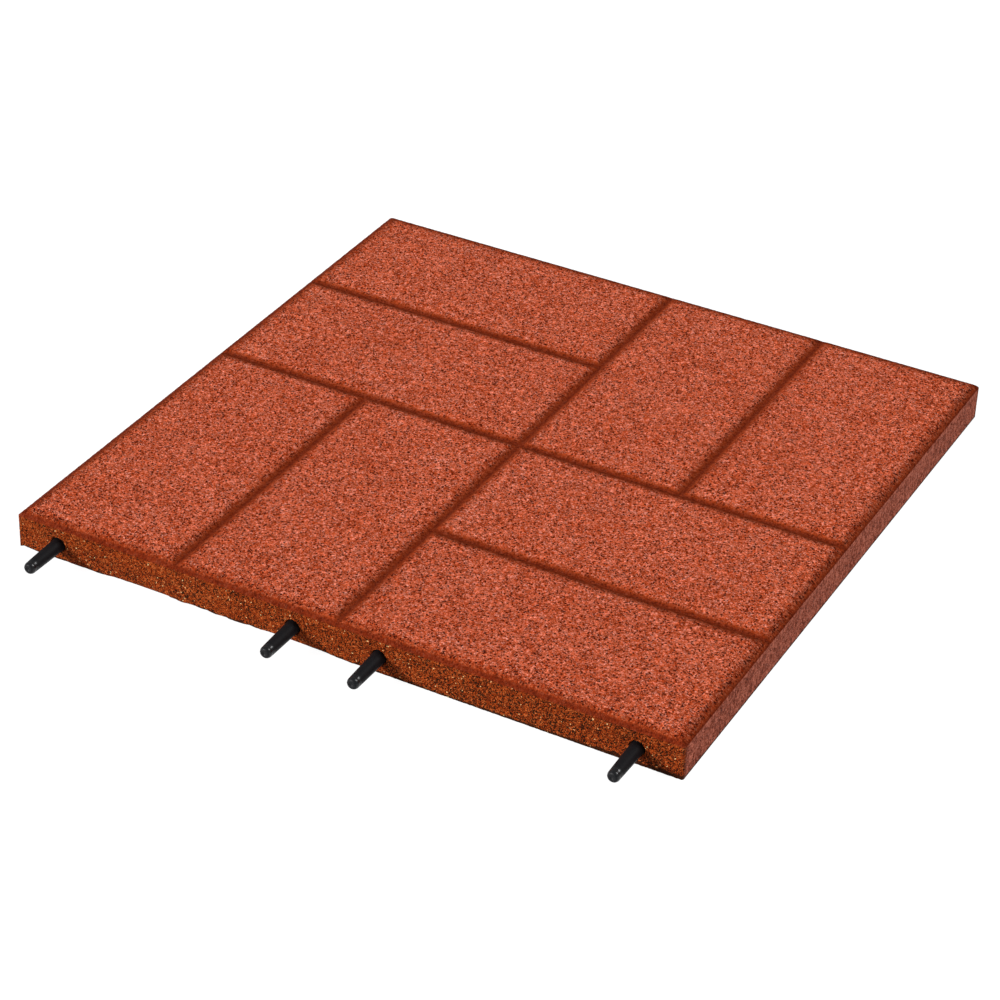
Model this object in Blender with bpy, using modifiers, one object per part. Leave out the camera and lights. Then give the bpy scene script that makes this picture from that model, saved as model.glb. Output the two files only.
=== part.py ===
"""Square rubber stable mat with a basket-weave brick relief, and four dowel pins along one side.

Metres, +Z up. The origin is the centre of the underside, and the pins stand out of the -Y side.
"""
from math import cos, pi, radians, sin, tan

import bmesh
import bpy
from mathutils import Matrix, Vector

# Driving dimensions of the moulded mat
MAT_NAME = "rubber_stable_mat"
SIDE = 0.500
THICKNESS = 0.030
GROOVE_DEPTH = 0.0027
GROOVE_SLOPE = radians(25)
GROOVE_FLOOR = 0.0016
GROOVE_SHOULDER = 0.016
RIM_DEPTH = 0.005
RIM_SLOPE = radians(38)
RIM_SHOULDER = 0.011

# Driving dimensions of the dowel pins and of the bores that take them
PIN_REACH = 0.034
PIN_MIDDLE_RADIUS = 0.0050
PIN_TIP_RADIUS = 0.0044
PIN_NOSE_LENGTH = 0.0030
PIN_END_RADIUS = 0.0022
NECK_PLACE = 0.0038
NECK_WIDTH = 0.0012
NECK_DEPTH = 0.0003
DIMPLE_RADIUS = 0.0012
DIMPLE_DEPTH = 0.0006
PIN_HEIGHT = 0.012
INNER_PIN_X = 0.0325
OUTER_PIN_X = 0.2175
BORE_CLEARANCE = 0.0003
BORE_END_ROOM = 0.001

# How finely round shapes are divided
SHOULDER_STEPS = 5
NOSE_STEPS = 4
PIN_SIDES = 20
BORE_SIDES = 32

# Worked out from the values above
HALF_SIDE = SIDE / 2
BRICK_WIDTH = SIDE / 4
PIN_PLACES = (-OUTER_PIN_X, -INNER_PIN_X, INNER_PIN_X, OUTER_PIN_X)
BORE_RADIUS = PIN_MIDDLE_RADIUS + BORE_CLEARANCE
BORE_DEPTH = PIN_REACH + BORE_END_ROOM
CUTTER_MARGIN = 0.010
WELD_DISTANCE = 0.00001

# Colours in linear RGB
RUBBER_COLOUR = (0.42, 0.085, 0.042, 1.0)
PIN_COLOUR = (0.017, 0.017, 0.018, 1.0)


def clear_scene():
    for obj in list(bpy.data.objects):
        bpy.data.objects.remove(obj, do_unlink=True)


def new_collection(name):
    collection = bpy.data.collections.new(name)
    bpy.context.scene.collection.children.link(collection)
    return collection


def make_material(name, colour, roughness):
    material = bpy.data.materials.new(name)
    material.use_nodes = True
    shader = material.node_tree.nodes["Principled BSDF"]
    shader.inputs["Base Color"].default_value = colour
    shader.inputs["Roughness"].default_value = roughness
    shader.inputs["Metallic"].default_value = 0.0
    return material


def add_object(name, data, collection):
    obj = bpy.data.objects.new(name, data)
    collection.objects.link(obj)
    return obj


def subtract(body, cutter):
    cut = body.modifiers.new(cutter.name, "BOOLEAN")
    cut.operation = "DIFFERENCE"
    cut.solver = "EXACT"
    cut.object = cutter


def flank(foot, depth, slope, shoulder):
    """A straight flank from its foot, then an arc that meets the tread without a crease."""
    straight_rise = depth - shoulder * (1 - cos(slope))
    arc_start = foot + straight_rise / tan(slope)
    arc_centre = arc_start + shoulder * sin(slope)
    points = [(foot, THICKNESS - depth)]
    for step in range(SHOULDER_STEPS + 1):
        angle = slope * (1 - step / SHOULDER_STEPS)
        height = THICKNESS - shoulder * (1 - cos(angle))
        points.append((arc_centre - shoulder * sin(angle), height))
    return points


def groove_outline():
    """A groove's section: a narrow floor between two flanks, open at the top."""
    right = flank(GROOVE_FLOOR / 2, GROOVE_DEPTH, GROOVE_SLOPE, GROOVE_SHOULDER)
    left = [(-x, height) for x, height in reversed(right)]
    edge = right[-1][0]
    lid = THICKNESS + CUTTER_MARGIN
    return left + right + [(edge, lid), (-edge, lid)]


def rim_outline():
    """The section cut off along a side: half a groove, deeper, that ends at the side face."""
    inner = flank(0.0, RIM_DEPTH, RIM_SLOPE, RIM_SHOULDER)
    lid = THICKNESS + CUTTER_MARGIN
    outside = -CUTTER_MARGIN
    return [(outside, THICKNESS - RIM_DEPTH)] + inner + [(inner[-1][0], lid), (outside, lid)]


def prism(name, outline, length, placement, collection):
    """A flat outline drawn across and up, extruded along its run, then welded into a closed mesh."""
    curve = bpy.data.curves.new(name, "CURVE")
    curve.dimensions = "2D"
    curve.fill_mode = "BOTH"
    curve.extrude = length / 2
    spline = curve.splines.new("POLY")
    spline.points.add(len(outline) - 1)
    for point, (across, up) in zip(spline.points, outline):
        point.co = (across, up, 0.0, 1.0)
    spline.use_cyclic_u = True

    drawing = add_object(name + "_drawing", curve, collection)
    drawing.matrix_world = placement
    bpy.context.view_layer.update()
    evaluated = drawing.evaluated_get(bpy.context.evaluated_depsgraph_get())
    mesh = bpy.data.meshes.new_from_object(evaluated)
    shape = bmesh.new()
    shape.from_mesh(mesh)
    bmesh.ops.remove_doubles(shape, verts=shape.verts, dist=WELD_DISTANCE)
    bmesh.ops.recalc_face_normals(shape, faces=shape.faces)
    shape.to_mesh(mesh)
    shape.free()
    solid = add_object(name, mesh, collection)
    solid.matrix_world = drawing.matrix_world.copy()
    bpy.data.objects.remove(drawing, do_unlink=True)
    return solid


def quarter_turn(count):
    return Matrix.Rotation(count * pi / 2, 4, "Z")


# A drawing's across, up and run become world X, Z and -Y, or after a quarter turn Y, Z and X
STANDING = Matrix.Rotation(pi / 2, 4, "X")


def cut_main_grooves(tile, cutters):
    for count, name in enumerate(("main_groove_along_y", "main_groove_along_x")):
        placement = quarter_turn(count) @ STANDING
        length = SIDE + 2 * CUTTER_MARGIN
        subtract(tile, prism(name, groove_outline(), length, placement, cutters))


def cut_brick_grooves(tile, cutters):
    """Each quarter of the mat is split into two bricks, turned by a right angle from the next one."""
    length = HALF_SIDE + CUTTER_MARGIN
    for count in range(4):
        middle = Matrix.Translation((-BRICK_WIDTH, -length / 2, 0.0))
        placement = quarter_turn(count) @ middle @ STANDING
        name = f"brick_groove_{count + 1}"
        subtract(tile, prism(name, groove_outline(), length, placement, cutters))


def cut_rim(tile, cutters):
    for count in range(4):
        to_side = Matrix.Translation((0.0, -HALF_SIDE, 0.0))
        placement = quarter_turn(count) @ to_side @ quarter_turn(1) @ STANDING
        length = SIDE + 2 * CUTTER_MARGIN
        subtract(tile, prism(f"rim_{count + 1}", rim_outline(), length, placement, cutters))


def cut_bore(tile, name, x, side, cutters):
    """A blind bore that runs in from the side face at y = side * HALF_SIDE."""
    mesh = bpy.data.meshes.new(name)
    shape = bmesh.new()
    length = BORE_DEPTH + CUTTER_MARGIN
    bmesh.ops.create_cone(shape, cap_ends=True, segments=BORE_SIDES, radius1=BORE_RADIUS,
                          radius2=BORE_RADIUS, depth=length)
    shape.to_mesh(mesh)
    shape.free()
    bore = add_object(name, mesh, cutters)
    middle = HALF_SIDE + CUTTER_MARGIN - length / 2
    bore.matrix_world = Matrix.Translation((x, side * middle, PIN_HEIGHT)) @ STANDING
    subtract(tile, bore)


def make_tile(parts, cutters):
    mesh = bpy.data.meshes.new("tile")
    shape = bmesh.new()
    size = Matrix.Diagonal(Vector((SIDE, SIDE, THICKNESS, 1.0)))
    lift = Matrix.Translation((0.0, 0.0, THICKNESS / 2))
    bmesh.ops.create_cube(shape, size=1.0, matrix=lift @ size)
    shape.to_mesh(mesh)
    shape.free()
    tile = add_object("tile", mesh, parts)
    tile.data.materials.append(make_material("bonded_granulate", RUBBER_COLOUR, 0.9))
    cut_main_grooves(tile, cutters)
    cut_brick_grooves(tile, cutters)
    cut_rim(tile, cutters)
    for count, x in enumerate(PIN_PLACES):
        cut_bore(tile, f"pin_bore_{count + 1}", x, -1, cutters)
        cut_bore(tile, f"socket_bore_{count + 1}", x, 1, cutters)
    return tile


def pin_half_profile():
    """Radius and height of a pin's upper half: dimpled end, round nose, neck, then a slow taper."""
    points = [(0.0, PIN_REACH - DIMPLE_DEPTH), (DIMPLE_RADIUS, PIN_REACH)]
    for step in range(NOSE_STEPS + 1):
        angle = (pi / 2) * step / NOSE_STEPS
        radius = PIN_END_RADIUS + (PIN_TIP_RADIUS - PIN_END_RADIUS) * sin(angle)
        points.append((radius, PIN_REACH - PIN_NOSE_LENGTH * (1 - cos(angle))))
    neck = PIN_REACH - NECK_PLACE
    points.append((PIN_TIP_RADIUS, neck + NECK_WIDTH / 2))
    points.append((PIN_TIP_RADIUS - NECK_DEPTH, neck))
    points.append((PIN_TIP_RADIUS, neck - NECK_WIDTH / 2))
    points.append((PIN_MIDDLE_RADIUS, 0.0))
    return points


def make_pin(name, x, parts):
    upper = pin_half_profile()
    lower = [(radius, -height) for radius, height in reversed(upper[:-1])]
    profile = upper + lower
    mesh = bpy.data.meshes.new(name)
    corners = [(radius, 0.0, height) for radius, height in profile]
    edges = [(index, index + 1) for index in range(len(profile) - 1)]
    mesh.from_pydata(corners, edges, [])
    pin = add_object(name, mesh, parts)
    turn = pin.modifiers.new("turned", "SCREW")
    turn.axis = "Z"
    turn.angle = 2 * pi
    turn.steps = PIN_SIDES
    turn.render_steps = PIN_SIDES
    turn.use_merge_vertices = True
    turn.merge_threshold = WELD_DISTANCE
    turn.use_smooth_shade = True
    pin.matrix_world = Matrix.Translation((x, -HALF_SIDE, PIN_HEIGHT)) @ STANDING
    pin.data.materials.append(make_material(f"{name}_plastic", PIN_COLOUR, 0.45))
    return pin


def main():
    clear_scene()
    parts = new_collection(MAT_NAME)
    cutters = new_collection("cutters")
    make_tile(parts, cutters)
    for cutter in cutters.objects:
        cutter.hide_render = True
        cutter.display_type = "WIRE"
    for count, x in enumerate(PIN_PLACES):
        make_pin(f"pin_{count + 1}", x, parts)


main()
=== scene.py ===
# %% [markdown]
# # A rubber stable mat
#
# The object is a square mat for a stable floor: coarse rubber grains, glued together with a binder and
# pressed in a mould, with black plastic dowel pins along one side that plug into the next mat.
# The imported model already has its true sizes, its grooves and its pins. This script keeps that frame and
# gives each part the finish that the real one shows: pitted grain, worn edges, satin plastic.
# We first load the frame and keep its box, because nothing that we add may reach outside it.

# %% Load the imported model
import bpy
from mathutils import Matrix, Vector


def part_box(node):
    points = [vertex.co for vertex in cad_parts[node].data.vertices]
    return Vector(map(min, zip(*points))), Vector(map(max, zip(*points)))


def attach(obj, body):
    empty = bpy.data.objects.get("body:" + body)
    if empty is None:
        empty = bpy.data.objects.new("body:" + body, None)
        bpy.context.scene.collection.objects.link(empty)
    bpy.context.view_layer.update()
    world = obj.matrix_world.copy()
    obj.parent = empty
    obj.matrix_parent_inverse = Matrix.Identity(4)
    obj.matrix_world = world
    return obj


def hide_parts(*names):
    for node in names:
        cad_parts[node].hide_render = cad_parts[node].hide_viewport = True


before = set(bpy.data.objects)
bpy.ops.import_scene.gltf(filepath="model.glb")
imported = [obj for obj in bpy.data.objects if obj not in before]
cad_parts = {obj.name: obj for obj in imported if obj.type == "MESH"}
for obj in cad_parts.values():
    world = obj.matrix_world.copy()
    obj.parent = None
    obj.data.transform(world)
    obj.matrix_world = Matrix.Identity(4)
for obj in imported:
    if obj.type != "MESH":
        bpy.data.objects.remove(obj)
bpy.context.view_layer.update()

# %% [markdown]
# ## The sizes
#
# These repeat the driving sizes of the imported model, in metres, so that the finished skin follows the same
# section as the solid under it. The middle of the underside is the origin, +Z is up, and the pins stand
# out of the -Y side. Everything that is not a size of the object, such as how fine the mesh is, is named
# in the cell that first needs it.

# %% Name the sizes
from math import cos, pi, radians, sin, tan

import bmesh
import bpy
from mathutils import Matrix, Vector

MM = 0.001
SIDE = 500 * MM
THICKNESS = 30 * MM
HALF_SIDE = SIDE / 2
BRICK_WIDTH = SIDE / 4
GROOVE_DEPTH = 2.7 * MM
GROOVE_SLOPE = radians(25)
GROOVE_FLOOR = 1.6 * MM
GROOVE_SHOULDER = 16 * MM
RIM_DEPTH = 5 * MM
RIM_SLOPE = radians(38)
RIM_SHOULDER = 11 * MM
WALL_TOP = THICKNESS - RIM_DEPTH
PIN_PLACES = (-217.5 * MM, -32.5 * MM, 32.5 * MM, 217.5 * MM)
PIN_HEIGHT = 12 * MM
PIN_REACH = 34 * MM
PIN_MIDDLE_RADIUS = 5 * MM
PIN_TIP_RADIUS = 4.4 * MM
BORE_RADIUS = 5.3 * MM
BORE_DEPTH = 35 * MM
mat_low, mat_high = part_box("tile")
print("mat box in millimetres", [round(1000 * (h - l), 1) for l, h in zip(mat_low, mat_high)])

# %% [markdown]
# ## Writing node trees as sentences
#
# A node tree can be clicked together by hand, but a script that adds nodes one by one is hard to read.
# A small class that wraps a socket lets us write sums instead: `depth - 2 * width` adds the Math nodes
# for us. A second class adds any other node in one call. The same pair serves the shaders, which colour
# the rubber, and Geometry Nodes, which shape it.

# %% Make the two helper classes
def set_stops(ramp, stops):
    """Give a colour ramp its stops: the two it has become the first and last, the rest are new."""
    (first, first_colour), *middle, (last, last_colour) = stops
    ramp.elements[0].position = first
    ramp.elements[0].color = (*first_colour, 1.0)
    ramp.elements[1].position = last
    ramp.elements[1].color = (*last_colour, 1.0)
    for position, colour in middle:
        ramp.elements.new(position).color = (*colour, 1.0)


class Wire:
    """One output of a node, on which sums can be written."""

    def __init__(self, bench, socket):
        self.bench = bench
        self.socket = socket

    def math(self, operation, *others):
        settings = {"operation": operation}
        return self.bench.add("ShaderNodeMath", settings, [self, *others])

    def __add__(self, other):
        return self.math("ADD", other)

    def __sub__(self, other):
        return self.math("SUBTRACT", other)

    def __mul__(self, other):
        return self.math("MULTIPLY", other)

    def __truediv__(self, other):
        return self.math("DIVIDE", other)

    def __radd__(self, other):
        return self + other

    def __rsub__(self, other):
        return self.bench.add("ShaderNodeMath", {"operation": "SUBTRACT"}, [other, self])

    def __rmul__(self, other):
        return self * other

    def __rtruediv__(self, other):
        return self.bench.add("ShaderNodeMath", {"operation": "DIVIDE"}, [other, self])

    def size(self):
        return self.math("ABSOLUTE")

    def at_least(self, other):
        return self.math("MAXIMUM", other)

    def at_most(self, other):
        return self.math("MINIMUM", other)

    def above(self, other):
        return self.math("GREATER_THAN", other)

    def between(self, low, high):
        """Nought below low, one above high and a smooth rise from one to the other."""
        settings = {"interpolation_type": "SMOOTHSTEP"}
        sockets = {"Value": self, "From Min": low, "From Max": high}
        return self.bench.add("ShaderNodeMapRange", settings, sockets)

    def out(self, name):
        """Another output of the same node."""
        return Wire(self.bench, self.socket.node.outputs[name])


class Bench:
    """A node tree under work."""

    def __init__(self, tree):
        self.tree = tree
        self.nodes = tree.nodes
        self.nodes.clear()

    def add(self, kind, settings=None, sockets=None, output=None):
        """Add a node: its settings first, then values or wires for its sockets."""
        node = self.nodes.new(kind)
        for name, value in (settings or {}).items():
            if name == "stops":
                set_stops(node.color_ramp, value)
            else:
                setattr(node, name, value)
        if isinstance(sockets, dict):
            pairs = [(self.find(node.inputs, name), value) for name, value in sockets.items()]
        else:
            pairs = zip(node.inputs, sockets or [])
        for socket, value in pairs:
            if isinstance(value, Wire):
                self.tree.links.new(value.socket, socket)
            else:
                socket.default_value = value
        if output is not None:
            return Wire(self, self.find(node.outputs, output))
        return Wire(self, node.outputs[0]) if len(node.outputs) else node

    def find(self, group, name):
        """A socket by its identifier, or else by its name."""
        for socket in group:
            if socket.identifier == name:
                return socket
        return next(socket for socket in group if socket.name == name)

    def mix(self, share, first, second, blend="MIX"):
        """Two colours mixed: all first at nought, all second at one."""
        settings = {"data_type": "RGBA", "blend_type": blend}
        sockets = {"Factor_Float": share, "A_Color": first, "B_Color": second}
        return self.add("ShaderNodeMix", settings, sockets, "Result_Color")

    def split(self, vector):
        first = self.add("ShaderNodeSeparateXYZ", {}, [vector])
        return first, first.out("Y"), first.out("Z")

    def join(self, x, y, z):
        return self.add("ShaderNodeCombineXYZ", {}, [x, y, z])

    def vector(self, operation, *values):
        return self.add("ShaderNodeVectorMath", {"operation": operation}, list(values))

    def noise(self, place, wavelength, detail=2.0, roughness=0.5, output="Fac"):
        """Soft random blotches about as long as the wavelength, from nought to one."""
        sockets = {"Vector": place, "Scale": 1 / wavelength, "Detail": detail, "Roughness": roughness}
        return self.add("ShaderNodeTexNoise", {}, sockets, output)

    def cells(self, place, width, feature="F1", output="Color"):
        """Random cells about as wide as the width."""
        sockets = {"Vector": place, "Scale": 1 / width}
        return self.add("ShaderNodeTexVoronoi", {"feature": feature}, sockets, output)


print("helpers ready")

# %% [markdown]
# ## The camera
#
# The mat is seen from above its front right corner with a long lens. The camera's place, tilt and focal
# length come from fitting the mat's corners, grooves and edges to their places in the photograph, so
# the whole scene can be compared with it point by point.

# %% Place the camera
CAMERA_PLACE = Vector((0.8248, -1.6186, 1.1720))
CAMERA_HEADING = radians(-27.373)
CAMERA_DIP = radians(33.249)
CAMERA_ROLL = radians(2.054)
FOCAL_LENGTH_MM = 109.8
SENSOR_MM = 36.0

level_ahead = Vector((sin(CAMERA_HEADING), cos(CAMERA_HEADING), 0.0))
level_right = Vector((cos(CAMERA_HEADING), -sin(CAMERA_HEADING), 0.0))
ahead = cos(CAMERA_DIP) * level_ahead - sin(CAMERA_DIP) * Vector((0, 0, 1))
level_up = level_right.cross(ahead)
right = cos(CAMERA_ROLL) * level_right + sin(CAMERA_ROLL) * level_up
up = cos(CAMERA_ROLL) * level_up - sin(CAMERA_ROLL) * level_right
camera_data = bpy.data.cameras.new("photo_camera")
camera_data.lens = FOCAL_LENGTH_MM
camera_data.sensor_width = SENSOR_MM
camera = bpy.data.objects.new("photo_camera", camera_data)
bpy.context.scene.collection.objects.link(camera)
facing = Matrix((right, up, -ahead)).transposed().to_4x4()
camera.matrix_world = Matrix.Translation(CAMERA_PLACE) @ facing
bpy.context.scene.camera = camera
print("the camera is", round(CAMERA_PLACE.length, 2), "m from the middle of the mat")

# %% [markdown]
# ## Where a point is, and what grain lies there
#
# Two questions come up both when the mat is pressed and when it is coloured: how far a point is from the
# nearest groove, and what grain of rubber lies under it. The answers are written once here, as sums that
# fit into either kind of node tree, so pits in the shape and dark seams in the colour fall on the same
# places. The grain is looked up at one level for the whole top, because the pressed surface is lower
# than the blank and would cut the grains at another height.

# %% Write the two shared questions
GRAIN_SIZE = 1.35 * MM
GRAIN_BEND = 1.1 * MM


def groove_distance(x, y, brick_width):
    """Distance from the nearest groove's middle line. The bricks turn from one quarter to the next."""
    off_x = x.size()
    off_y = y.size()
    upright = (x * y).above(0.0)
    along_y = (off_x - brick_width).size()
    along_x = (off_y - brick_width).size()
    between_bricks = upright * along_y + (1 - upright) * along_x
    return off_x.at_most(off_y).at_most(between_bricks)


def bent_place(bench, x, y, z):
    """The place where the grain is read, bent a little so that the grains lose their straight sides."""
    place = bench.join(x, y, z.at_most(WALL_TOP))
    blotches = bench.noise(place, 3.3 * MM, output="Color")
    centred = bench.vector("SUBTRACT", blotches, (0.5, 0.5, 0.5))
    sockets = {"Vector": centred, "Scale": GRAIN_BEND}
    bend = bench.add("ShaderNodeVectorMath", {"operation": "SCALE"}, sockets)
    return bench.vector("ADD", place, bend)


print("a grain is about", round(GRAIN_SIZE / MM, 2), "mm across")

# %% [markdown]
# ## The moulding rule
#
# The mat's top follows one rule. Seen in section, a groove is a narrow floor between two straight flanks
# that meet the flat tread in a soft round shoulder, and the rim along each side is half of a deeper groove.
# Each point is as low as the deepest groove above it. Because the shape is a rule of where a point is,
# Geometry Nodes can press it into a flat blank, and a change of any named input presses the mat anew.
# The same tree presses the grain: rubber grains that lie flat against the mould, with pits between them,
# rougher on the cut sides, and a crumbled lower edge where the mould was filled unevenly.

# %% Write the section of a groove
MOULDING_SIZES = {
    "Half side": HALF_SIDE,
    "Thickness": THICKNESS,
    "Brick width": BRICK_WIDTH,
    "Groove depth": GROOVE_DEPTH,
    "Groove slope": GROOVE_SLOPE,
    "Groove floor": GROOVE_FLOOR,
    "Groove shoulder": GROOVE_SHOULDER,
    "Rim depth": RIM_DEPTH,
    "Rim slope": RIM_SLOPE,
    "Rim shoulder": RIM_SHOULDER,
    "Corner radius": 1.8 * MM,
    "Grain size": GRAIN_SIZE,
    "Tread pit depth": 0.36 * MM,
    "Groove pit depth": 0.22 * MM,
    "Wall pit depth": 0.26 * MM,
    "Plain side share": 0.25,
    "Edge loss": 2.0 * MM,
    "Edge loss reach": 9 * MM,
    "Edge loss height": 12 * MM,
}


def new_geometry_tree(name, sizes):
    """A geometry tree with named number inputs. Gives its bench and a wire for each input."""
    tree = bpy.data.node_groups.new(name, "GeometryNodeTree")
    tree.interface.new_socket("Geometry", in_out="INPUT", socket_type="NodeSocketGeometry")
    for label in sizes:
        tree.interface.new_socket(label, in_out="INPUT", socket_type="NodeSocketFloat")
    tree.interface.new_socket("Finish", in_out="INPUT", socket_type="NodeSocketMaterial")
    tree.interface.new_socket("Geometry", in_out="OUTPUT", socket_type="NodeSocketGeometry")
    bench = Bench(tree)
    source = bench.add("NodeGroupInput")
    return bench, {label: source.out(label) for label in ("Geometry", *sizes, "Finish")}


def close_geometry_tree(bench, geometry, finish):
    """End a tree as the export needs it: real geometry, with its material set."""
    real = bench.add("GeometryNodeRealizeInstances", {}, [geometry])
    dressed = bench.add("GeometryNodeSetMaterial", {}, {"Geometry": real, "Material": finish})
    bench.add("NodeGroupOutput", {}, [dressed])


def pressed_depth(distance, depth, slope, radius, half_floor):
    """How deep a groove is at some distance from its middle line, with a shoulder of that radius."""
    shoulder_width = radius * slope.math("SINE")
    shoulder_drop = radius * (1 - slope.math("COSINE"))
    steepness = slope.math("TANGENT")
    flank_end = half_floor + (depth - shoulder_drop) / steepness
    into_shoulder = (flank_end + shoulder_width - distance).at_least(0).at_most(shoulder_width)
    shoulder = radius - (radius * radius - into_shoulder * into_shoulder).math("SQRT")
    flank = (flank_end - distance).at_least(0) * steepness
    return (shoulder + flank).at_most(depth)


shoulder_drop = GROOVE_SHOULDER * (1 - cos(GROOVE_SLOPE))
flank_width = (GROOVE_DEPTH - shoulder_drop) / tan(GROOVE_SLOPE) + GROOVE_SHOULDER * sin(GROOVE_SLOPE)
groove_width = GROOVE_FLOOR + 2 * flank_width
print("a groove is", round(GROOVE_DEPTH / MM, 1), "mm deep and about", round(groove_width / MM), "mm wide")

# %% [markdown]
# The tree below reads a point of the blank, works out how far the mould presses it down, then takes the
# grain's relief off it: downwards on the tread, inwards on the sides. Relief only ever takes material
# away, so the finished mat cannot grow out of its packed box.

# %% Build the moulding tree
SURFACE_MARGIN = 0.1 * MM
TREAD_MARGIN = 0.5 * MM


def grain_relief(bench, x, y, z, size):
    """From nought on top of a flat grain to one at the bottom of a pit."""
    place = bent_place(bench, x, y, z)
    seam = bench.cells(place, size["Grain size"], "DISTANCE_TO_EDGE", "Distance")
    chances = bench.cells(place, size["Grain size"])
    level, chance, _ = bench.split(chances)
    open_place = bench.noise(place, 5 * MM).between(0.42, 0.62)
    pit = (1 - seam.between(0.03, 0.24)) * open_place
    sunk = chance.above(0.82) * 0.6
    return (pit + sunk + 0.25 * level).at_most(1.0)


def rounded_corner(bench, size, off_x, off_y):
    """How far a point near an upright corner is pulled in, so that the square corner becomes an arc."""
    start = size["Half side"] - size["Corner radius"]
    reach_x = (off_x - start).at_least(0)
    reach_y = (off_y - start).at_least(0)
    diagonal = (reach_x * reach_x + reach_y * reach_y).math("SQRT").at_least(0.001 * MM)
    pull = (reach_x * reach_y).above(0.0) * (1 - reach_x.at_least(reach_y) / diagonal)
    return pull * reach_x, pull * reach_y


def build_moulding_tree():
    bench, size = new_geometry_tree("moulding", MOULDING_SIZES)
    x, y, z = bench.split(bench.add("GeometryNodeInputPosition"))
    off_x = x.size()
    off_y = y.size()

    nearest = groove_distance(x, y, size["Brick width"])
    half_floor = size["Groove floor"] / 2
    section = (size["Groove depth"], size["Groove slope"], size["Groove shoulder"])
    groove = pressed_depth(nearest, *section, half_floor)
    from_side = size["Half side"] - off_x.at_least(off_y)
    section = (size["Rim depth"], size["Rim slope"], size["Rim shoulder"])
    rim = pressed_depth(from_side, *section, 0.0)
    depth = groove.at_least(rim)

    relief = grain_relief(bench, x, y, z, size)
    pressed = (depth / size["Groove depth"]).between(0.05, 0.6)
    pits = size["Tread pit depth"] * (1 - pressed) + size["Groove pit depth"] * pressed
    top = size["Thickness"] - depth - relief * pits

    long_waves = bench.noise(bench.join(x, y, 0.0), 45 * MM, 4.0, 0.6).between(0.38, 0.62)
    on_plain_side = (off_x - off_y).between(-3 * MM, 0.0)
    roughness_share = 1 - on_plain_side * (1 - size["Plain side share"])
    towards_left = 1 - x.between(-70 * MM, 60 * MM)
    loss = size["Edge loss"] * (1 - on_plain_side) * towards_left * (0.25 + 0.75 * long_waves)
    near_side = (1 - from_side / size["Edge loss reach"]).at_least(0)
    near_floor = (1 - z / size["Edge loss height"]).at_least(0)
    lift = loss * near_side * near_side * near_floor

    inward = relief * size["Wall pit depth"] * roughness_share + 0.4 * loss * near_floor * near_floor
    on_side_x = (size["Half side"] - off_x).math("LESS_THAN", SURFACE_MARGIN)
    on_side_y = (size["Half side"] - off_y).math("LESS_THAN", SURFACE_MARGIN)
    corner_x, corner_y = rounded_corner(bench, size, off_x, off_y)
    new_x = x - x.math("SIGN") * (on_side_x * inward + corner_x)
    new_y = y - y.math("SIGN") * (on_side_y * inward + corner_y)
    on_tread = z.above(size["Thickness"] - TREAD_MARGIN)
    new_z = on_tread * top + (1 - on_tread) * (z + lift)

    sockets = {"Geometry": size["Geometry"], "Position": bench.join(new_x, new_y, new_z)}
    moved = bench.add("GeometryNodeSetPosition", {}, sockets)
    close_geometry_tree(bench, moved, size["Finish"])
    return bench.tree


moulding = build_moulding_tree()
print("moulding tree with", len(moulding.nodes), "nodes and", len(MOULDING_SIZES), "named sizes")

# %% [markdown]
# ## The blanks
#
# The mat is one moulded piece, but one mesh that is fine enough for its grain would be too heavy to
# export. The skin is therefore made in eight bricks that meet in the bottom of the grooves, where no seam
# can show. Where it touches its neighbours, one flat face closes it, and another closes it below.
# Neighbouring blanks share their border points, so the pressed bricks meet exactly.

# %% Make the blank of a brick
CELL = 0.9 * MM
SKIRT_STEPS = (0.8 * MM, 2.0 * MM, 4.0 * MM, 6.5 * MM, 10 * MM)


def make_sheet(shape, low, high):
    """A level sheet of small squares. Gives its four sides as lists of points, anticlockwise."""
    across = round((high.x - low.x) / CELL)
    along = round((high.y - low.y) / CELL)
    grid = []
    for row in range(along + 1):
        y = low.y + (high.y - low.y) * row / along
        steps = [low.x + (high.x - low.x) * step / across for step in range(across + 1)]
        grid.append([shape.verts.new((x, y, THICKNESS)) for x in steps])
    for near, far in zip(grid, grid[1:]):
        for step in range(across):
            shape.faces.new((near[step], near[step + 1], far[step + 1], far[step]))
    return [grid[0], [line[-1] for line in grid], grid[-1][::-1], [line[0] for line in grid[::-1]]]


def tucked(value, low, high, step):
    """Draw a coordinate inwards from whichever of its limits is a side of the mat."""
    new_low = low + step if low <= -HALF_SIDE else low
    new_high = high - step if high >= HALF_SIDE else high
    return new_low + (value - low) * (new_high - new_low) / (high - low)


def hang_walls(shape, outer, low, high):
    """Rows of squares from the outer border down to the floor, then inwards under the mat."""
    rows = [outer]
    wall_rows = round(WALL_TOP / CELL)
    for row in range(1, wall_rows + 1):
        height = WALL_TOP * (1 - row / wall_rows)
        rows.append([shape.verts.new((vert.co.x, vert.co.y, height)) for vert in outer])
    for step in SKIRT_STEPS:
        row = []
        for vert in outer:
            x = tucked(vert.co.x, low.x, high.x, step)
            y = tucked(vert.co.y, low.y, high.y, step)
            row.append(shape.verts.new((x, y, 0.0)))
        rows.append(row)
    for upper, lower in zip(rows, rows[1:]):
        for index in range(len(outer) - 1):
            shape.faces.new((upper[index], lower[index], lower[index + 1], upper[index + 1]))
    return rows


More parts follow.
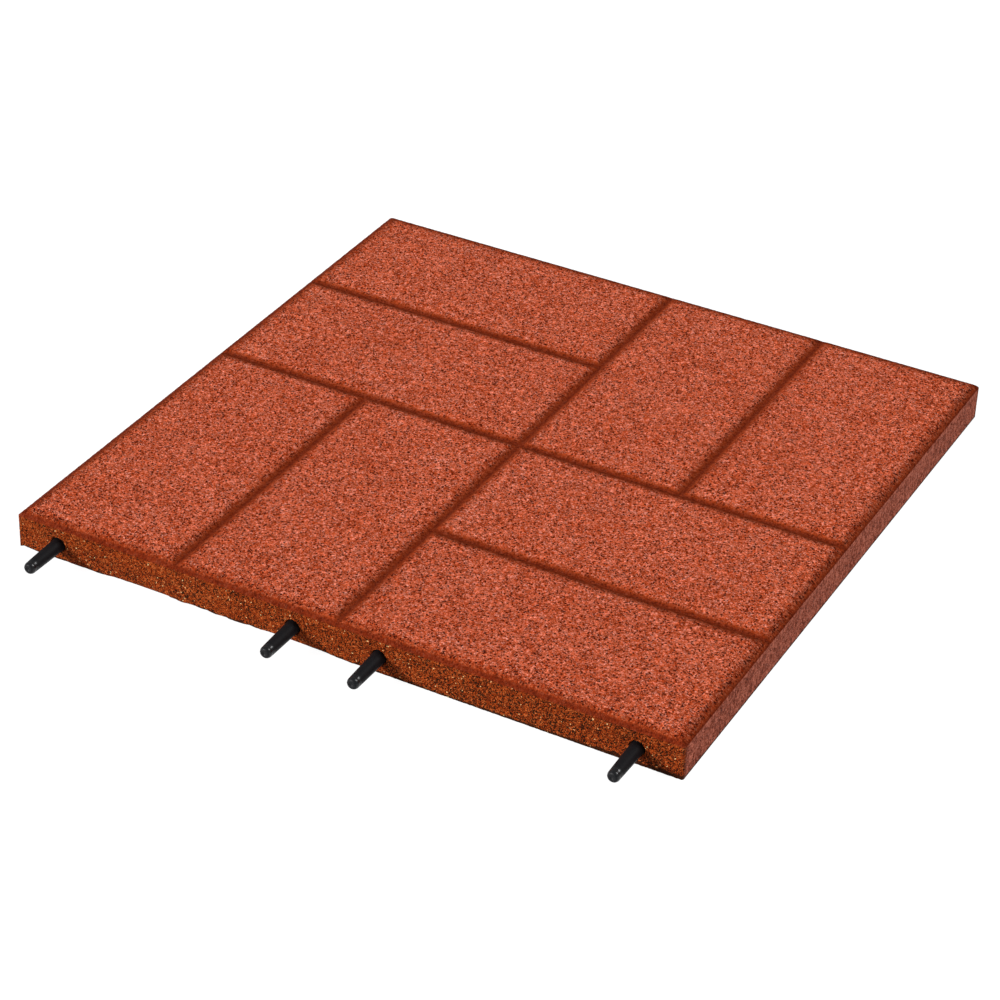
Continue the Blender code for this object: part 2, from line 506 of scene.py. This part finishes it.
def brick_blank(low, high):
    """A closed blank: sheet, outer walls, one flat face towards each neighbour and one underneath."""
    shape = bmesh.new()
    sides = make_sheet(shape, low, high)
    is_outer = [low.y <= -HALF_SIDE, high.x >= HALF_SIDE, high.y >= HALF_SIDE, low.x <= -HALF_SIDE]
    first = next(index for index in range(4) if is_outer[index] and not is_outer[index - 1])
    ordered = [sides[(first + step) % 4] for step in range(4)]
    outer_count = sum(is_outer)
    outer = ordered[0] + [vert for side in ordered[1:outer_count] for vert in side[1:]]
    rows = hang_walls(shape, outer, low, high)
    for face in shape.faces:
        face.smooth = True

    inner_sides = ordered[outer_count:]
    down = [row[-1] for row in rows[1:]]
    floor_corners = []
    for side in inner_sides:
        if side is inner_sides[-1]:
            next_down = [row[0] for row in rows[1:]]
        else:
            next_down = [shape.verts.new((side[-1].co.x, side[-1].co.y, 0.0))]
            floor_corners += next_down
        joint = shape.faces.new(down + next_down[::-1] + side[::-1])
        for edge in joint.edges:
            edge.smooth = False
        down = next_down
    shape.faces.new((rows[-1] + floor_corners)[::-1])
    return shape


test = brick_blank(Vector((-2 * BRICK_WIDTH, -2 * BRICK_WIDTH)), Vector((-BRICK_WIDTH, 0.0)))
open_edges = sum(not edge.is_manifold for edge in test.edges)
print("a corner blank has", len(test.faces), "faces and", open_edges, "open edges")
test.free()

# %% [markdown]
# ## Colouring the rubber
#
# The grains are pigmented rubber, no two quite the same red and a few of them orange or greyish. The pits
# between them are painted dark as shade, and rare specks on the cut sides carry a painted glint. The
# shoulders beside the grooves and rims get painted shade, and their flanks and floors a darker brown that is
# partly the pressed rubber's own and partly painted shade, darkest in the floors. The plain side's mauve is
# partly painted sheen, and the foot of the sides carries painted contact shadow.
# All of that depends only on where a point is, so one procedural material can serve the whole mat, with
# no picture and no unwrapping.

# %% Mix the rubber
SMALL_GRAIN = 0.85 * MM
CRUMB_SIZE = 0.70 * MM
HOLLOW_SIZE = 2.3 * MM
TREAD_TINTS = (
    (0.00, (0.230, 0.014, 0.002)), (0.26, (0.395, 0.042, 0.006)), (0.50, (0.630, 0.112, 0.041)),
    (0.74, (0.800, 0.222, 0.132)), (1.00, (0.860, 0.375, 0.295)),
)
CUT_SIDE_TINTS = (
    (0.00, (0.060, 0.005, 0.0005)), (0.30, (0.150, 0.016, 0.001)), (0.60, (0.255, 0.038, 0.004)),
    (1.00, (0.470, 0.128, 0.036)),
)
# The plain side's own brown, with a greyish mauve that is painted sheen
PLAIN_SIDE_TINTS_AND_SHEEN = (
    (0.00, (0.100, 0.015, 0.006)), (0.50, (0.255, 0.056, 0.029)), (1.00, (0.460, 0.135, 0.084)),
)
ORANGE_GRAIN = (0.700, 0.105, 0.018, 1.0)
GREY_GRAIN = (0.560, 0.215, 0.175, 1.0)
# Painted shade inside the pits and hollows between the grains
PIT_SHADE_TINT = (0.035, 0.003, 0.001, 1.0)
# Painted shade on the shoulders beside the grooves and rims, and how far it is set to one side
RIDGE_SHADE = (0.56, 0.46, 0.34, 1.0)
RIDGE_SHADE_SHIFT = 1.3 * MM
# How far the grooves' painted shade is set to one side
GROOVE_SHADE_SHIFT = 0.9 * MM
# How the rims' painted shade is narrowed on the right side and widened at the back and left
RIGHT_RIM_SHADE_CUT = 2.0 * MM
BACK_RIM_SHADE_REACH = 5.0 * MM
LEFT_RIM_SHADE_LESS = 1.5 * MM
# Flanks and floors of grooves and rims: the pressed rubber's darker brown with painted shade, darkest in the
# floors
FLANK_TINT_AND_SHADE = (0.230, 0.030, 0.005, 1.0)
FLOOR_TINT_AND_SHADE = (0.105, 0.011, 0.002, 1.0)
BLACK_GRAIN = (0.007, 0.003, 0.001, 1.0)
# Colour of the painted glints on the cut sides
GLINT_TINT = (0.95, 0.62, 0.28, 1.0)


def new_material(name):
    material = bpy.data.materials.new(name)
    material.use_nodes = True
    return material, Bench(material.node_tree)


def finish_shader(bench, sockets):
    shader = bench.add("ShaderNodeBsdfPrincipled", {}, sockets)
    bench.add("ShaderNodeOutputMaterial", {}, {"Surface": shader})


def mix_rubber():
    material, bench = new_material("pressed_rubber_grain")
    x, y, z = bench.split(bench.add("ShaderNodeTexCoord", {}, {}, "Object"))
    off_x = x.size()
    off_y = y.size()
    from_side = HALF_SIDE - off_x.at_least(off_y)
    bent = bent_place(bench, x, y, z)
    fine = bench.vector("ADD", bent, (3.1 * MM, 1.7 * MM, 0.9 * MM))

    seam = bench.cells(bent, GRAIN_SIZE, "DISTANCE_TO_EDGE", "Distance")
    shade, hue, _ = bench.split(bench.cells(bent, GRAIN_SIZE))
    small_seam = bench.cells(fine, SMALL_GRAIN, "DISTANCE_TO_EDGE", "Distance")
    small_level, small_chance, _ = bench.split(bench.cells(fine, SMALL_GRAIN))
    crumb_level, crumb_chance, sparkle = bench.split(bench.cells(fine, CRUMB_SIZE))
    hollow = bench.cells(bent, HOLLOW_SIZE, output="Distance")
    blotch = bench.noise(bent, 30 * MM, 3.0)
    speck = bench.noise(bent, 0.6 * MM, 2.0, 0.7)
    patchy = bench.noise(bent, 4 * MM, 2.0)
    cluster = bench.noise(bent, 14 * MM, 3.0)

    # The pits and hollows between the grains are painted near black, as painted shade in the voids.
    pit = (1 - seam.between(0.04, 0.26)) * patchy.between(0.36, 0.54)
    small_pit = (1 - small_seam.between(0.04, 0.26)) * (1 - small_chance.between(0.32, 0.66))
    spot = 1 - hollow.between(0.20, 0.37)
    tint = 0.34 * shade + 0.50 * small_level + 0.60 * (speck - 0.5) + 0.18 * (blotch - 0.5) + 0.09
    pit_shade_share = (0.92 * spot + 0.45 * pit + 0.55 * small_pit).at_most(0.96)
    tread = bench.add("ShaderNodeValToRGB", {"stops": TREAD_TINTS}, [tint])
    bright = tint.between(0.45, 0.75)
    tread = bench.mix(0.40 * bright * hue.between(0.74, 0.84), tread, ORANGE_GRAIN)
    tread = bench.mix(0.34 * bright * (1 - hue.between(0.14, 0.24)), tread, GREY_GRAIN)
    tread = bench.mix(pit_shade_share, tread, PIT_SHADE_TINT)

    wander = 2.0 * MM * (patchy - 0.5)
    on_plain_side = (off_x - off_y + wander).between(-0.5 * MM, 6.0 * MM)
    # The painted shade on the grooves' flanks and floors is set a little to one side, as the light falls.
    groove = groove_distance(x - GROOVE_SHADE_SHIFT, y - GROOVE_SHADE_SHIFT, BRICK_WIDTH) + wander
    # The shoulders beside the grooves and rims are painted darker as shade, set a little to one side of each
    # groove, as the light falls.
    shade_groove_distance = groove_distance(x - RIDGE_SHADE_SHIFT, y + RIDGE_SHADE_SHIFT, BRICK_WIDTH) + wander
    # The rims' painted shade is narrowed along the right side and widened along the back and left sides, as
    # the light falls on them.
    on_far_side = (y - x).between(-4 * MM, 4 * MM)
    far_reach = BACK_RIM_SHADE_REACH - LEFT_RIM_SHADE_LESS * on_plain_side
    right_cut = RIGHT_RIM_SHADE_CUT * on_plain_side * (1 - on_far_side)
    rim = from_side + wander + right_cut - far_reach * on_far_side
    ridge_shade_share = (1 - shade_groove_distance.between(2.0 * MM, 9.8 * MM)).at_least(1 - rim.between(4.0 * MM, 10.0 * MM))
    # Flanks and floors are darkened, partly as the pressed rubber's own brown and partly as painted shade,
    # deepest in the floors.
    flank = (1 - groove.between(1.6 * MM, 5.6 * MM)).at_least(1 - rim.between(2.4 * MM, 5.2 * MM))
    floor = (1 - groove.between(0.6 * MM, 3.4 * MM)).at_least(1.25 - 1.25 * rim.between(1.8 * MM, 4.0 * MM))
    streak = 0.25 + 1.50 * bench.noise(bent, 3.2 * MM, 4.0, 0.7)
    pressed = bench.mix(floor.at_most(1.2), FLANK_TINT_AND_SHADE, FLOOR_TINT_AND_SHADE)
    pressed = bench.mix(1.0, pressed, bench.join(streak, streak, streak), "MULTIPLY")
    pressed = bench.mix(0.45 * pit_shade_share, pressed, PIT_SHADE_TINT)
    top = bench.mix(ridge_shade_share, tread, bench.mix(1.0, tread, RIDGE_SHADE, "MULTIPLY"))
    top = bench.mix(flank * 0.82, top, pressed)

    crowding = 0.6 * (cluster - 0.5) + 0.09 * x.between(-40 * MM, 80 * MM)
    black = (crumb_chance + crowding).above(0.70) * (0.88 + 0.12 * patchy.between(0.40, 0.56))
    crumb_tint = tint + 0.50 * (crumb_level - small_level)
    at_side = 1 - from_side.between(1.5 * MM, 5.0 * MM)
    at_corner = x.between(150 * MM, 210 * MM)
    above_floor = z + 5 * MM * (patchy - 0.5) - 1.6 * MM * at_corner
    # Painted contact shadow along the lower edge of the cut sides, patchy and taller near the front corner.
    low_edge_shadow = at_side * (1 - above_floor.between(0.6 * MM, 2.2 * MM))
    cut_side = bench.add("ShaderNodeValToRGB", {"stops": CUT_SIDE_TINTS}, [crumb_tint])
    # The cut side's black: its own black grains, with painted shade from the pits and the lower edge.
    black_share = (0.35 * pit_shade_share + black + 0.80 * low_edge_shadow).at_most(0.95)
    cut_side = bench.mix(black_share, cut_side, BLACK_GRAIN)
    combed = bench.noise(bench.join(x, y + 0.15 * z, z * 0.45), 2.8 * MM, 3.0, 0.7)
    # The plain side's greyish mauve is partly painted sheen, as seen at a grazing view; its fine combed
    # streaks are its own.
    plain_tint = 1.4 * tint + 2.4 * (combed - 0.5) - 0.17 + 0.10 * z.between(WALL_TOP - 6 * MM, WALL_TOP)
    plain_side = bench.add("ShaderNodeValToRGB", {"stops": PLAIN_SIDE_TINTS_AND_SHEEN}, [plain_tint])
    # Painted contact shadow as a thin dark line along the foot of the plain side.
    foot_shadow = at_side * (1 - z.between(0.5 * MM, 1.8 * MM))
    plain_side = bench.mix((0.35 * small_pit + 0.85 * foot_shadow).at_most(0.9), plain_side, BLACK_GRAIN)
    side = bench.mix(on_plain_side * at_side, cut_side, plain_side)

    on_top = z.between(WALL_TOP - 0.6 * MM, WALL_TOP + 0.1 * MM)
    colour = bench.mix(on_top, side, top)
    # Rare specks on the cut sides get a painted glint in the base colour, with lower roughness.
    glint = (1 - on_top) * (1 - on_plain_side) * at_side * sparkle.above(0.995)
    colour = bench.mix(0.55 * glint, colour, GLINT_TINT)

    roughness = 0.90 - 0.20 * (1 - on_top) - 0.35 * glint + 0.06 * pit
    rise = seam.at_most(0.25) * (1.6 * MM) + small_seam.at_most(0.2) * (0.9 * MM) + speck * (0.35 * MM)
    height = rise * (1 - 0.5 * flank * on_top)
    bump = bench.add("ShaderNodeBump", {}, {"Strength": 0.9, "Distance": 1.0, "Height": height})
    sockets = {"Base Color": colour, "Roughness": roughness, "Normal": bump, "Specular IOR Level": 0.03}
    finish_shader(bench, sockets)
    return material


rubber = mix_rubber()
print("rubber mixed with", len(rubber.node_tree.nodes), "nodes")

# %% [markdown]
# ## Pressing the bricks
#
# Each blank goes through the moulding tree with the sizes above. The result is copied into a plain mesh,
# because the export wants finished geometry and not a live modifier. The dowel holes come after that,
# cut into the four bricks of each pinned side, so that their mouths break through the rough side wall.

# %% Press and drill
def make_object(name, mesh):
    obj = bpy.data.objects.new(name, mesh)
    bpy.context.scene.collection.objects.link(obj)
    return obj


def bake_modifiers(obj):
    """Replace an object's mesh by what its modifiers make of it."""
    bpy.context.view_layer.update()
    graph = bpy.context.evaluated_depsgraph_get()
    mesh = bpy.data.meshes.new_from_object(obj.evaluated_get(graph))
    obj.modifiers.clear()
    obj.data = mesh
    mesh.name = obj.name
    return obj


def run_tree(obj, tree, sizes, finish):
    """Put an object through a geometry tree, with each input set by its socket's identifier."""
    modifier = obj.modifiers.new(tree.name, "NODES")
    modifier.node_group = tree
    for socket in tree.interface.items_tree:
        if socket.in_out == "INPUT" and socket.name in sizes:
            modifier[socket.identifier] = sizes[socket.name]
        if socket.in_out == "INPUT" and socket.name == "Finish":
            modifier[socket.identifier] = finish
    return bake_modifiers(obj)


def turned_shape(profile, sides):
    """A round closed body from its profile, a list of radius and height from the foot to the top."""
    shape = bmesh.new()
    rings = []
    for radius, height in profile:
        if radius == 0:
            rings.append([shape.verts.new((0.0, 0.0, height))] * sides)
            continue
        ring = []
        for index in range(sides):
            angle = 2 * pi * index / sides
            ring.append(shape.verts.new((radius * cos(angle), radius * sin(angle), height)))
        rings.append(ring)
    for lower, upper in zip(rings, rings[1:]):
        for index in range(sides):
            after = (index + 1) % sides
            corners = dict.fromkeys((lower[index], lower[after], upper[after], upper[index]))
            face = shape.faces.new(tuple(corners))
            face.smooth = True
    return shape


# Turns a body that stands along Z so that it lies along -Y
LYING = Matrix.Rotation(pi / 2, 4, "X")
BORE_MOUTH = 0.7 * MM
BORE_SIDES = 40
OVERSHOOT = 5 * MM


def bore_cutter(x, side):
    """A drill for one dowel hole, a little wider at its mouth, in the side at y = side * HALF_SIDE."""
    profile = [
        (0.0, -BORE_DEPTH), (BORE_RADIUS, -BORE_DEPTH), (BORE_RADIUS, -2.0 * MM),
        (BORE_RADIUS + BORE_MOUTH, 0.0), (BORE_RADIUS + BORE_MOUTH, OVERSHOOT), (0.0, OVERSHOOT),
    ]
    shape = turned_shape(profile, BORE_SIDES)
    turn = LYING if side < 0 else Matrix.Rotation(-pi / 2, 4, "X")
    shape.transform(Matrix.Translation((x, side * HALF_SIDE, PIN_HEIGHT)) @ turn)
    mesh = bpy.data.meshes.new("drill")
    shape.to_mesh(mesh)
    shape.free()
    return make_object("drill", mesh)


BRICKS = {
    "brick_1": (-2, -2, 1, 2), "brick_2": (-1, -2, 1, 2), "brick_3": (0, -2, 2, 1), "brick_4": (0, -1, 2, 1),
    "brick_5": (0, 0, 1, 2), "brick_6": (1, 0, 1, 2), "brick_7": (-2, 1, 2, 1), "brick_8": (-2, 0, 2, 1),
}


def drill(brick, low, high):
    """Cut the dowel holes that fall in a brick."""
    side = -1 if low.y <= -HALF_SIDE else 1
    if side * (low.y if side < 0 else high.y) < HALF_SIDE:
        return 0
    places = [x for x in PIN_PLACES if low.x < x < high.x]
    drills = [bore_cutter(x, side) for x in places]
    for cutter in drills:
        cut = brick.modifiers.new("drilled", "BOOLEAN")
        cut.operation = "DIFFERENCE"
        cut.solver = "EXACT"
        cut.object = cutter
    bake_modifiers(brick)
    for cutter in drills:
        bpy.data.objects.remove(cutter, do_unlink=True)
    return len(places)


bricks = []
for name, (left, front, across, along) in BRICKS.items():
    low = Vector((left, front)) * BRICK_WIDTH
    high = low + Vector((across, along)) * BRICK_WIDTH
    shape = brick_blank(low, high)
    mesh = bpy.data.meshes.new(name)
    shape.to_mesh(mesh)
    shape.free()
    brick = run_tree(make_object(name, mesh), moulding, MOULDING_SIZES, rubber)
    holes = drill(brick, low, high)
    bricks.append(brick)
    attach(brick, "root")
    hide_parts("tile")
    print(name, len(brick.data.polygons), "faces,", holes, "dowel holes")

# %% [markdown]
# ## The dowel pins
#
# The pins are turned about their own axis, so a half profile says all: a dimpled end, a round nose, a
# shallow neck behind it and a long slow taper to the thick middle, which sits at the mat's side. The mould
# that cast them left a fine raised line along both sides, which a plain cylinder would lack.

# %% Make the dowel pins
PIN_NOSE_LENGTH = 3.0 * MM
PIN_END_RADIUS = 2.2 * MM
NECK_PLACE = 3.8 * MM
NECK_WIDTH = 1.2 * MM
NECK_DEPTH = 0.3 * MM
DIMPLE_RADIUS = 1.4 * MM
DIMPLE_DEPTH = 0.6 * MM
NOSE_STEPS = 10
SHAFT_STEPS = 12
PIN_SIDES = 48
SEAM_RISE = 0.10 * MM
PIN_BLACK = (0.004, 0.004, 0.005, 1.0)
PIN_SCUFFED = (0.016, 0.016, 0.020, 1.0)
PIN_DUST = (0.018, 0.010, 0.008, 1.0)


def half_pin_profile():
    """Radius and height from the thick middle up to the dimpled end."""
    neck = PIN_REACH - NECK_PLACE
    shaft_end = neck - NECK_WIDTH / 2
    points = []
    for step in range(SHAFT_STEPS):
        share = step / SHAFT_STEPS
        radius = PIN_MIDDLE_RADIUS + (PIN_TIP_RADIUS - PIN_MIDDLE_RADIUS) * share
        points.append((radius, shaft_end * share))
    neck_side = PIN_TIP_RADIUS - 0.8 * NECK_DEPTH
    points += [(PIN_TIP_RADIUS, shaft_end), (neck_side, neck - NECK_WIDTH / 5)]
    points += [(PIN_TIP_RADIUS - NECK_DEPTH, neck), (neck_side, neck + NECK_WIDTH / 5)]
    for step in range(NOSE_STEPS + 1):
        angle = (pi / 2) * (1 - step / NOSE_STEPS)
        radius = PIN_END_RADIUS + (PIN_TIP_RADIUS - PIN_END_RADIUS) * sin(angle)
        points.append((radius, PIN_REACH - PIN_NOSE_LENGTH * (1 - cos(angle))))
    points += [(DIMPLE_RADIUS, PIN_REACH - 0.05 * MM), (DIMPLE_RADIUS * 0.7, PIN_REACH - 0.8 * DIMPLE_DEPTH)]
    return points + [(0.0, PIN_REACH - DIMPLE_DEPTH)]


def make_pin(name, x, finish):
    upper = half_pin_profile()
    lower = [(radius, -height) for radius, height in upper[:0:-1]]
    shape = turned_shape(lower + upper, PIN_SIDES)
    for vert in shape.verts:
        radius = vert.co.xy.length
        on_seam = abs(vert.co.y) < 0.01 * MM and radius > PIN_END_RADIUS
        if on_seam:
            vert.co.xy *= (radius + SEAM_RISE) / radius
    shape.transform(Matrix.Translation((x, -HALF_SIDE, PIN_HEIGHT)) @ LYING)
    mesh = bpy.data.meshes.new(name)
    shape.to_mesh(mesh)
    shape.free()
    mesh.materials.append(finish)
    return make_object(name, mesh)


def mix_pin_plastic():
    """Black plastic, satin where the mould was smooth, greyed and duller along fine scuffs."""
    material, bench = new_material("satin_black_plastic")
    place = bench.add("ShaderNodeTexCoord", {}, {}, "Object")
    x, y, z = bench.split(place)
    stretched = bench.join(x, y * 0.18, z)
    scuff = bench.noise(stretched, 1.1 * MM, 4.0, 0.7).between(0.56, 0.74)
    dust = bench.noise(place, 3.5 * MM, 3.0).between(0.45, 0.75)
    grain = bench.noise(place, 0.45 * MM, 2.0)
    from_end = y + HALF_SIDE + PIN_REACH
    polished = from_end.between(0.2 * MM, 1.0 * MM) * (1 - from_end.between(4.5 * MM, 7.0 * MM))
    colour = bench.mix(0.40 * scuff, PIN_BLACK, PIN_SCUFFED)
    colour = bench.mix(0.12 * dust, colour, PIN_DUST)
    roughness = 0.50 - 0.34 * polished + 0.14 * scuff + 0.10 * dust + 0.05 * grain
    height = grain * (0.05 * MM) + scuff * (0.04 * MM)
    bump = bench.add("ShaderNodeBump", {}, {"Strength": 1.0, "Distance": 1.0, "Height": height})
    sockets = {"Base Color": colour, "Roughness": roughness, "Normal": bump, "Specular IOR Level": 0.11}
    finish_shader(bench, {**sockets, "Coat Weight": 0.40 * polished, "Coat Roughness": 0.26})
    return material


pin_plastic = mix_pin_plastic()
for count, x in enumerate(PIN_PLACES, 1):
    pin = make_pin(f"dowel_pin_{count}", x, pin_plastic)
    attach(pin, "root")
    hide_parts(f"pin_{count}")
print("four pins of", len(pin.data.polygons), "faces each")

# %% [markdown]
# ## Floor and light
#
# The photograph is a studio shot on plain white. A large sheet of white paper, lit from below, carries the
# mat, so no shadow greys it. A low soft light from the left rakes along the pinned side and draws the
# pins' shadows on it, a higher and wider one from the right and behind lights the tread, and a white
# surround fills the rest. The picture is shown with the plain view transform, so that white paper comes
# out white.

# %% Lay the floor and set the lights
FLOOR_SIZE = 14.0
PAPER_SHADE = 0.10
PAPER_GLOW = 0.96
SURROUND_GLOW = 0.42
LAMP_DISTANCE = 3.0


def mix_paper():
    material, bench = new_material("white_paper")
    place = bench.add("ShaderNodeTexCoord", {}, {}, "Object")
    fibre = bench.noise(place, 4 * MM, 3.0)
    shade = PAPER_SHADE + 0.02 * (fibre - 0.5)
    colour = bench.join(shade, shade, shade)
    sockets = {"Base Color": colour, "Roughness": 0.95, "Emission Color": (1.0, 1.0, 1.0, 1.0)}
    finish_shader(bench, {**sockets, "Emission Strength": PAPER_GLOW})
    return material


def lay_floor():
    shape = bmesh.new()
    bmesh.ops.create_grid(shape, x_segments=8, y_segments=8, size=FLOOR_SIZE / 2)
    mesh = bpy.data.meshes.new("floor")
    shape.to_mesh(mesh)
    shape.free()
    mesh.materials.append(mix_paper())
    return make_object("floor", mesh)


def soft_light(name, heading, height, softness, strength):
    """A far light with soft edges. Heading is from the pinned side to the right, height above the floor."""
    data = bpy.data.lights.new(name, "SUN")
    data.angle = radians(softness)
    data.energy = strength
    lamp = bpy.data.objects.new(name, data)
    bpy.context.scene.collection.objects.link(lamp)
    level = cos(radians(height))
    towards = Vector((level * sin(radians(heading)), -level * cos(radians(heading)), sin(radians(height))))
    turn = towards.to_track_quat("Z", "Y").to_matrix().to_4x4()
    lamp.matrix_world = Matrix.Translation(LAMP_DISTANCE * towards) @ turn
    return lamp


lay_floor()
soft_light("left_light", heading=-35, height=18, softness=7, strength=5.4)
soft_light("key_light", heading=115, height=50, softness=24, strength=2.0)
surround = bpy.data.worlds.new("surround")
surround.use_nodes = True
sky = Bench(surround.node_tree)
glow = sky.add("ShaderNodeBackground", {}, {"Color": (1.0, 1.0, 1.0, 1.0), "Strength": SURROUND_GLOW})
sky.add("ShaderNodeOutputWorld", {}, {"Surface": glow})
bpy.context.scene.world = surround
bpy.context.scene.view_settings.view_transform = "Standard"
print("floor", FLOOR_SIZE, "m wide, two soft lights and a white surround")
